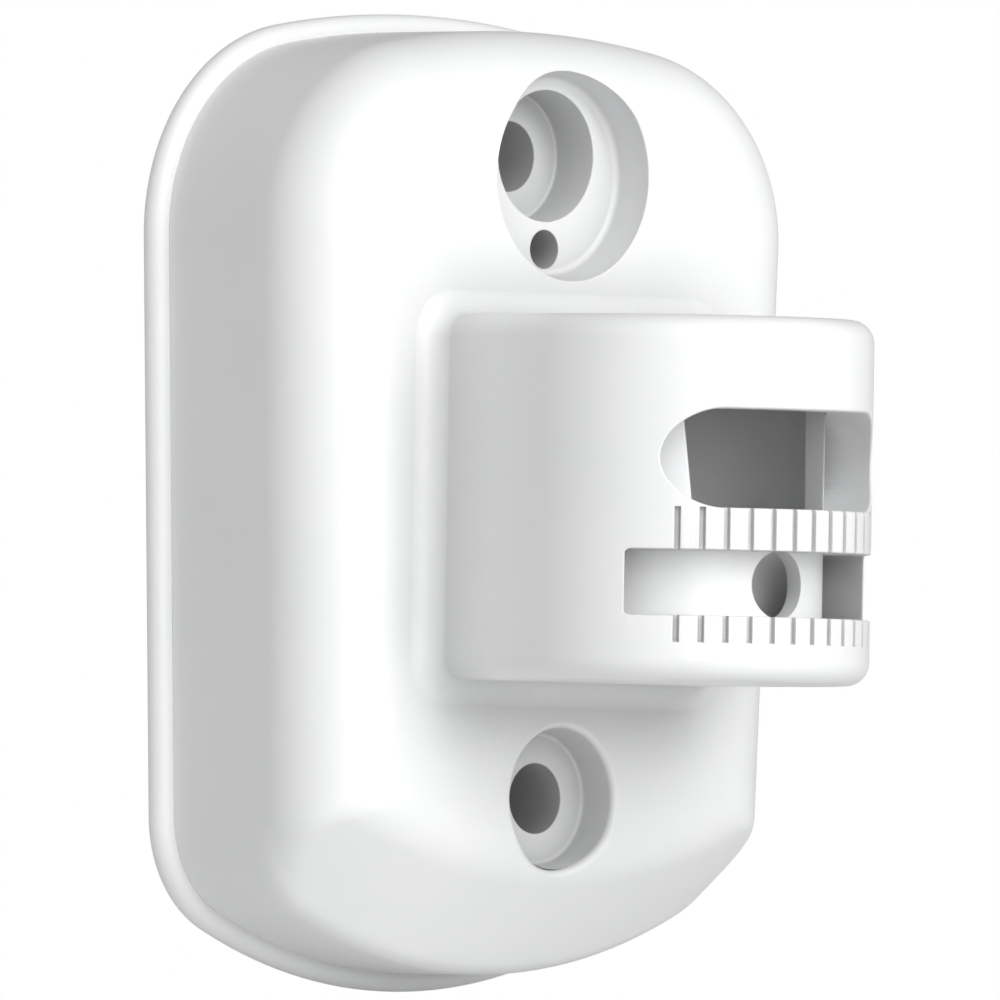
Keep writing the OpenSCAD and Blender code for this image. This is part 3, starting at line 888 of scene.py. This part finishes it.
def white_dome():
    """A white backdrop, which lights the object less than the camera sees of it."""
    world = bpy.data.worlds.new("studio")
    bpy.context.scene.world = world
    world.use_nodes = True
    tree = world.node_tree
    backdrop = tree.nodes["Background"]
    backdrop.inputs["Color"].default_value = (1, 1, 1, 1)
    path = tree.nodes.new("ShaderNodeLightPath")
    level = tree.nodes.new("ShaderNodeMapRange")
    level.inputs["To Min"].default_value = DOME_STRENGTH
    level.inputs["To Max"].default_value = 1.0
    tree.links.new(path.outputs["Is Camera Ray"], level.inputs["Value"])
    tree.links.new(level.outputs["Result"], backdrop.inputs["Strength"])


def pale_floor():
    """A pale floor just below the bracket, which a camera under it sees through."""
    mesh = bpy.data.meshes.new("floor")
    half = FLOOR_HALF_W
    z = cad_low.z - FLOOR_DROP
    corners = [(-half, -half, z), (half, -half, z), (half, half, z), (-half, half, z)]
    mesh.from_pydata(corners, [], [(0, 1, 2, 3)])
    floor = bpy.data.objects.new("floor", mesh)
    bpy.context.scene.collection.objects.link(floor)
    material, tree, shader = node_material("pale_floor")
    coords = tree.nodes.new("ShaderNodeTexCoord").outputs["Object"]
    cloud = spread(tree, noise(tree, coords, 30.0), 0.0, 1.0)
    colour = tint(tree, cloud, FLOOR_DARK, FLOOR_LIGHT)
    tree.links.new(colour, shader.inputs["Base Color"])
    shader.inputs["Roughness"].default_value = 0.9
    shader.inputs["Emission Color"].default_value = (1, 1, 1, 1)
    shader.inputs["Emission Strength"].default_value = FLOOR_GLOW
    from_below = tree.nodes.new("ShaderNodeMath")
    from_below.operation = "MULTIPLY"
    side = tree.nodes.new("ShaderNodeNewGeometry")
    ray = tree.nodes.new("ShaderNodeLightPath")
    tree.links.new(side.outputs["Backfacing"], from_below.inputs[0])
    tree.links.new(ray.outputs["Is Camera Ray"], from_below.inputs[1])
    clear = tree.nodes.new("ShaderNodeBsdfTransparent")
    either = tree.nodes.new("ShaderNodeMixShader")
    tree.links.new(from_below.outputs["Value"], either.inputs["Fac"])
    tree.links.new(shader.outputs["BSDF"], either.inputs[1])
    tree.links.new(clear.outputs["BSDF"], either.inputs[2])
    tree.links.new(either.outputs["Shader"], tree.nodes["Material Output"].inputs["Surface"])
    mesh.materials.append(material)


def soft_light(name, azimuth, elevation, power):
    """A square soft light that shines on the middle of the bracket."""
    back = direction(azimuth, elevation)
    data = bpy.data.lights.new(name, "AREA")
    data.shape = "SQUARE"
    data.size = LIGHT_SIZE
    data.energy = power
    lamp = bpy.data.objects.new(name, data)
    lamp.location = (cad_low + cad_high) / 2 + back * LIGHT_DISTANCE
    lamp.rotation_mode = "QUATERNION"
    lamp.rotation_quaternion = (-back).to_track_quat("-Z", "Y")
    bpy.context.scene.collection.objects.link(lamp)


def add_camera():
    back = direction(CAMERA_AZIMUTH, CAMERA_ELEVATION)
    data = bpy.data.cameras.new("camera")
    data.lens = data.sensor_width * CAMERA_DISTANCE / VIEW_WIDTH
    data.clip_start = 0.1
    camera = bpy.data.objects.new("camera", data)
    camera.location = AIM + back * CAMERA_DISTANCE
    camera.rotation_mode = "QUATERNION"
    turn = (-back).to_track_quat("-Z", "Y")
    roll = Matrix.Rotation(math.radians(CAMERA_ROLL), 3, "Z").to_quaternion()
    camera.rotation_quaternion = turn @ roll
    bpy.context.scene.collection.objects.link(camera)
    bpy.context.scene.camera = camera


white_dome()
pale_floor()
for light, (azimuth, elevation, power) in LIGHTS.items():
    soft_light(light, azimuth, elevation, power)
add_camera()
bpy.context.scene.view_settings.view_transform = "Standard"
bpy.context.scene.view_settings.gamma = 0.8
